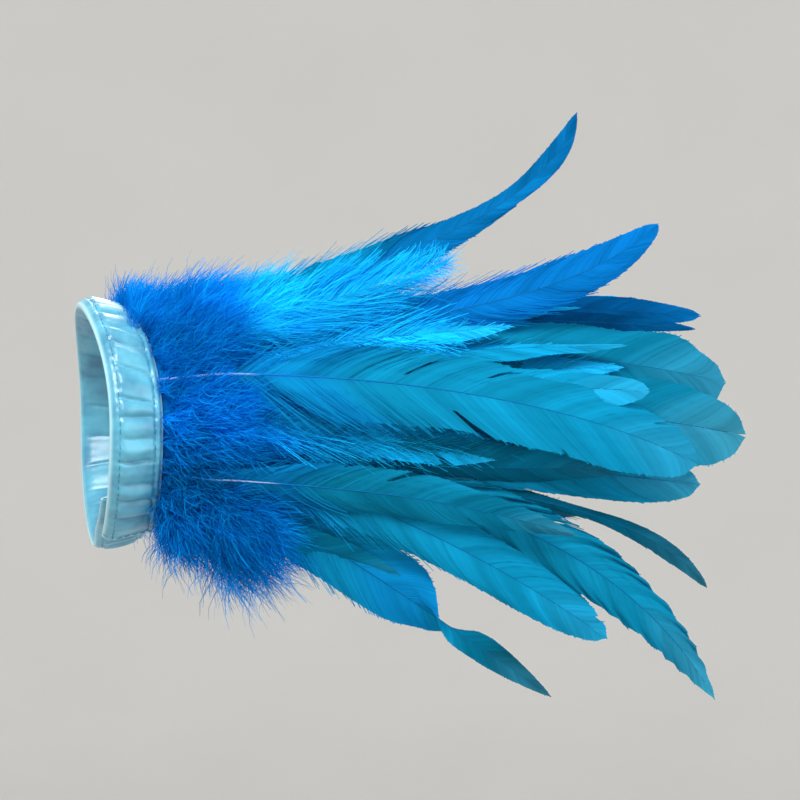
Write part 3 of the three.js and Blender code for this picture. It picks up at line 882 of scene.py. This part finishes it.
# ribbon: folded lengthwise, gathered and sewn
ribbon = dict(
    width=18, ply=0.8, along=520, hem=2.9, facePoints=42, backPoints=18, pocketPoints=6, foldPoints=7,
    foldRound=0.6, fullThick=5.5, leastThick=0.2, innerRelief=0.5, hemAt=1.0, hemOver=0.9, hemHigh=0.5,
    # the last four paint a highlight along the edges and across the front end
    highlightIn=0.9, highlightEnd=1.5, highlightOver=0.8, pale=0.85, uvStep=0.4,
)
relief = dict(
    groove=0.5, grooveWide=0.5, puff=0.4, puffAt=1.3, puffWide=0.8, tuckEvery=2.9, tuckDeep=0.14,
    tuckReach=1.6, tuckWander=1.5, tuckWanderOver=7, puckerEvery=8.5, everyVary=(0.6, 1.4), puckerDeep=1.7,
    deepVary=(0.4, 1), wide=(0.45, 0.85), slant=0.12, firstAt=(2, 5), past=0.6, curve=0.2,
    curveVary=(0.3, 0.7), swell=0.9, swellWide=0.3,
)
seamPull = dict(fold=(2.7, 1.3), mouth=(0.9, 0.3))  # how far the outer and inner faces close past each seam
seamCurve = dict(fold=0.8, mouth=1.5)
ribbonSections = np.array([  # angle round, inner face, outer face, as in the solids
    (-62, -1.2, 2.4), (-58, -1.9, 3.6), (234, -1.9, 3.6), (246, -1.2, 1.2), (264, -1.2, 1.2),
    (292, -6.1, -3.7), (318, -6.1, -3.7),
])


def ribbonFaces(around):
    angles, inner, outer = ribbonSections.T
    k = np.clip(np.searchsorted(angles, around) - 1, 0, len(angles) - 2)
    share = smooth(around - angles[k], angles[k + 1] - angles[k])
    return mix(inner[k], inner[k + 1], share), mix(outer[k], outer[k + 1], share)


def ribbonRelief(distance, across, rng):  # grooves and tucks at the seams, gathers between them
    sewn = ribbon["width"] / 2 - ribbon["hem"]
    fromLine = np.abs(across) - sewn
    height = 0 * distance - relief["groove"] * hill(fromLine, 0, relief["grooveWide"])
    height += relief["puff"] * hill(fromLine, relief["puffAt"], relief["puffWide"])
    near = np.exp(-np.abs(fromLine) / relief["tuckReach"])
    wander = relief["tuckWander"] * np.sin(distance / relief["tuckWanderOver"])
    height += relief["tuckDeep"] * near * np.sin(distance * fullTurn / relief["tuckEvery"] + wander)
    between = np.clip(1 - (across / (sewn + relief["past"])) ** 2, 0, 1) ** 0.5
    middle = rng.uniform(*relief["firstAt"])
    while middle < distance.max():
        step = relief["puckerEvery"] * rng.uniform(*relief["everyVary"])
        slant = rng.normal(0, relief["slant"])
        wide = rng.uniform(*relief["wide"])
        deep = rng.uniform(*relief["deepVary"]) * relief["puckerDeep"]
        curve = relief["curve"] * np.sin(across * rng.uniform(*relief["curveVary"]))
        off = distance - middle - slant * across - curve
        height -= deep * between * hill(off, 0, wide)
        height += relief["swell"] * deep * between * hill(off, step / 2, relief["swellWide"] * step)
        middle += step
    return height


def ribbonRings(rng):
    around = np.linspace(ribbonSections[0, 0], ribbonSections[-1, 0], ribbon["along"])
    point, acrossWay, out = ribbonFrame(around)[:3]
    distance = np.concatenate([[0], np.cumsum(np.linalg.norm(np.diff(point, axis=0), axis=1))])
    inner, outer = (height[:, None] for height in ribbonFaces(around))
    edge, ply, foldRound = ribbon["width"] / 2, ribbon["ply"], ribbon["foldRound"]
    face = np.linspace(edge, -edge + foldRound, ribbon["facePoints"])
    back = np.linspace(-edge + foldRound, edge, ribbon["backPoints"])
    pocket = np.linspace(edge, -edge + ply, ribbon["pocketPoints"])
    foldShare = np.linspace(0, 1, ribbon["foldPoints"] + 2)[1:-1]
    foldBulge = np.sin(math.pi * foldShare)
    thick = np.clip((outer - inner) / ribbon["fullThick"], ribbon["leastThick"], 1)

    def closing(t, side):  # past a seam the two faces come together, less so at the thin ends
        past = edge - ribbon["hem"]
        fold = np.clip((-t - past) / ribbon["hem"], 0, 1) ** seamCurve["fold"]
        mouth = np.clip((t - past) / ribbon["hem"], 0, 1) ** seamCurve["mouth"]
        return thick * (fold * seamPull["fold"][side] + mouth * seamPull["mouth"][side])[None, :]

    faceHeight = outer + ribbonRelief(distance[:, None], face[None, :], rng) - closing(face, 0)
    backRelief = ribbonRelief(distance[:, None], back[None, :], rng)
    backHeight = inner - ribbon["innerRelief"] * backRelief + closing(back, 1)
    hemEnd = hill(distance, ribbon["hemAt"], ribbon["hemOver"])[:, None] * ribbon["hemHigh"]
    parts = [  # where across the ribbon, and how high: the front end is turned and sewn
        (face, faceHeight + hemEnd),
        (-edge + foldRound - foldRound * foldBulge, mix(faceHeight[:, -1:], backHeight[:, :1], foldShare)),
        (back, backHeight),
        (pocket, inner + ply + closing(pocket, 1)),
        (pocket[::-1], outer - ply - closing(pocket[::-1], 0)),
    ]
    t = np.concatenate([np.broadcast_to(places, heights.shape) for places, heights in parts], 1)
    h = np.concatenate([heights for places, heights in parts], 1)
    rings = point[:, None] + acrossWay[:, None] * t[..., None] + out[:, None] * h[..., None]
    # painted highlight along the folded and cut edges and across the turned front end
    pale = np.maximum(smooth(np.abs(t) - edge + ribbon["highlightIn"], ribbon["highlightOver"]),
                      smooth(ribbon["highlightEnd"] - distance[:, None], ribbon["highlightOver"]))
    return rings, distance, face, pale * ribbon["pale"]


ribbonRng = np.random.default_rng(seeds["ribbon"])
ribbonRing, ribbonDistance, ribbonFace, ribbonEdgeHighlight = ribbonRings(ribbonRng)
ribbonMesh = ringMesh("satin_ribbon", ribbonRing)
satinRibbon = linkPiece("satin_ribbon", ribbonMesh)
ribbonMesh.materials.append(satinLook)
setValues(ribbonMesh, "edge", ribbonEdgeHighlight.ravel())
uvMap = ribbonMesh.uv_layers.new(name="UVMap")
vertexAt = np.zeros(len(ribbonMesh.loops), int)
ribbonMesh.loops.foreach_get("vertex_index", vertexAt)
columnsAcross = ribbonRing.shape[1]
uv = np.stack([ribbonDistance[vertexAt // columnsAcross], (vertexAt % columnsAcross) * ribbon["uvStep"]], -1)
uvMap.data.foreach_set("uv", uv.astype(np.float32).ravel())
print("ribbon", len(ribbonMesh.polygons), "faces")

stitch = dict(every=2.6, length=2.1, thread=0.15, sides=6, firstRow=6, lastRow=-4, endRow=5)


def stitchPiece():  # along both seams and across the turned front end
    sewn = ribbon["width"] / 2 - ribbon["hem"]
    paths = []
    for line in (sewn, -sewn):
        column = int(np.argmin(np.abs(ribbonFace - line)))
        paths.append(ribbonRing[stitch["firstRow"]:stitch["lastRow"], column])
    paths.append(ribbonRing[stitch["endRow"], :len(ribbonFace)])
    mesh = plainMesh("ribbon_stitches", np.concatenate(paths), {}, pathEdges(paths))
    return growPiece("ribbon_stitches", mesh, stitches,
                     {"Step": stitch["every"] * mm, "Length": stitch["length"] * mm,
                      "Thread": stitch["thread"] * mm, "Sides": stitch["sides"], "Material": threadLook})


sewn = stitchPiece()
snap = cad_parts["snap_fastener"]
snap.data.materials.clear()
snap.data.materials.append(snapLook)


# what each piece stands for
for piece in featherPieces + [quills]:
    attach(piece, "root")
    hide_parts("feather_fringe")
for piece in (downInner, downOuter, downCloth):
    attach(piece, "root")
    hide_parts("down_collar")
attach(satinRibbon, "root")
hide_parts("satin_band")
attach(sewn, "root")


# stage: a round pale floor that sweeps up far away on every side, darker near the middle, in metres
stage = dict(
    floor=-0.5, inner=(0.02, 1.2), flat=2.6, rise=1.6, tall=2.6, sides=96, steps=12,
    colour=(0.80, 0.785, 0.75), nearColour=(0.46, 0.45, 0.43), near=0.6, far=3.4,
    noiseScale=6.0, noiseDetail=3.0, noiseStops=[(0.3, (0.97, 0.97, 0.97)), (0.7, (1.0, 1.0, 1.0))],
    roughness=0.9,
)


def paleStage():
    turn = np.linspace(0, math.pi / 2, stage["steps"])
    wall = stage["flat"] + stage["rise"]
    radii = np.concatenate([stage["inner"], stage["flat"] + stage["rise"] * np.sin(turn), [wall]])
    heights = np.concatenate([[0, 0], stage["rise"] * (1 - np.cos(turn)), [stage["tall"]]]) + stage["floor"]
    angle = np.linspace(0, 2 * math.pi, stage["sides"], endpoint=False)
    rings = np.stack([radii[:, None] * np.cos(angle), radii[:, None] * np.sin(angle),
                      np.broadcast_to(heights[:, None], (len(radii), len(angle)))], -1)
    mesh = ringMesh("stage_floor", rings[::-1] / mm, capFirst=False)
    material, tree, shader = newMaterial("paleFloor")
    away = vectors(tree, "LENGTH", objectPlace(tree))
    away = add(tree, "ShaderNodeMapRange", away, stage["near"], stage["far"], 0.0, 1.0)
    colour = ramp(tree, away, [(0.0, stage["nearColour"]), (1.0, stage["colour"])])
    colour = vectors(tree, "MULTIPLY", colour, mottled(tree, stage))
    setSockets(shader, colour, {"Roughness": stage["roughness"]})
    mesh.materials.append(material)
    linkPiece("stage_floor", mesh)


def pointed(thing, place, aim):
    thing.location = place
    thing.rotation_euler = (Vector(aim) - Vector(place)).to_track_quat("-Z", "Y").to_euler()
    return thing


paleStage()
lights = {  # place in metres, width, watts, colour
    "key": ((-0.7, -1.2, 1.5), 0.8, 50, (1.0, 0.98, 0.95)),
    "fill": ((1.3, -1.4, 0.35), 1.3, 14, (0.95, 0.98, 1.0)),
    "rim": ((0.5, 1.3, 1.1), 1.0, 22, (1.0, 1.0, 1.0)),
}
lightAim = (0.08, 0, 0)
for name, (place, width, watts, colour) in lights.items():
    lamp = bpy.data.lights.new(name, "AREA")
    lamp.size = width
    lamp.energy = watts
    lamp.color = colour
    pointed(linkPiece(name, lamp), place, lightAim)

studio = {"Color": (0.93, 0.96, 1.0, 1.0), "Strength": 0.65}
world = bpy.data.worlds.new("studio")
world.use_nodes = True
for label, value in studio.items():
    world.node_tree.nodes["Background"].inputs[label].default_value = value
bpy.context.scene.world = world
bpy.context.scene.view_settings.view_transform = "Standard"

view = {"place": (-0.142, -1.5, 0.0105), "aim": (0.098, 0.0, 0.009), "lens": 196}
camera = bpy.data.cameras.new("camera")
camera.lens = view["lens"]
bpy.context.scene.camera = pointed(linkPiece("camera", camera), view["place"], view["aim"])
print("stage set")
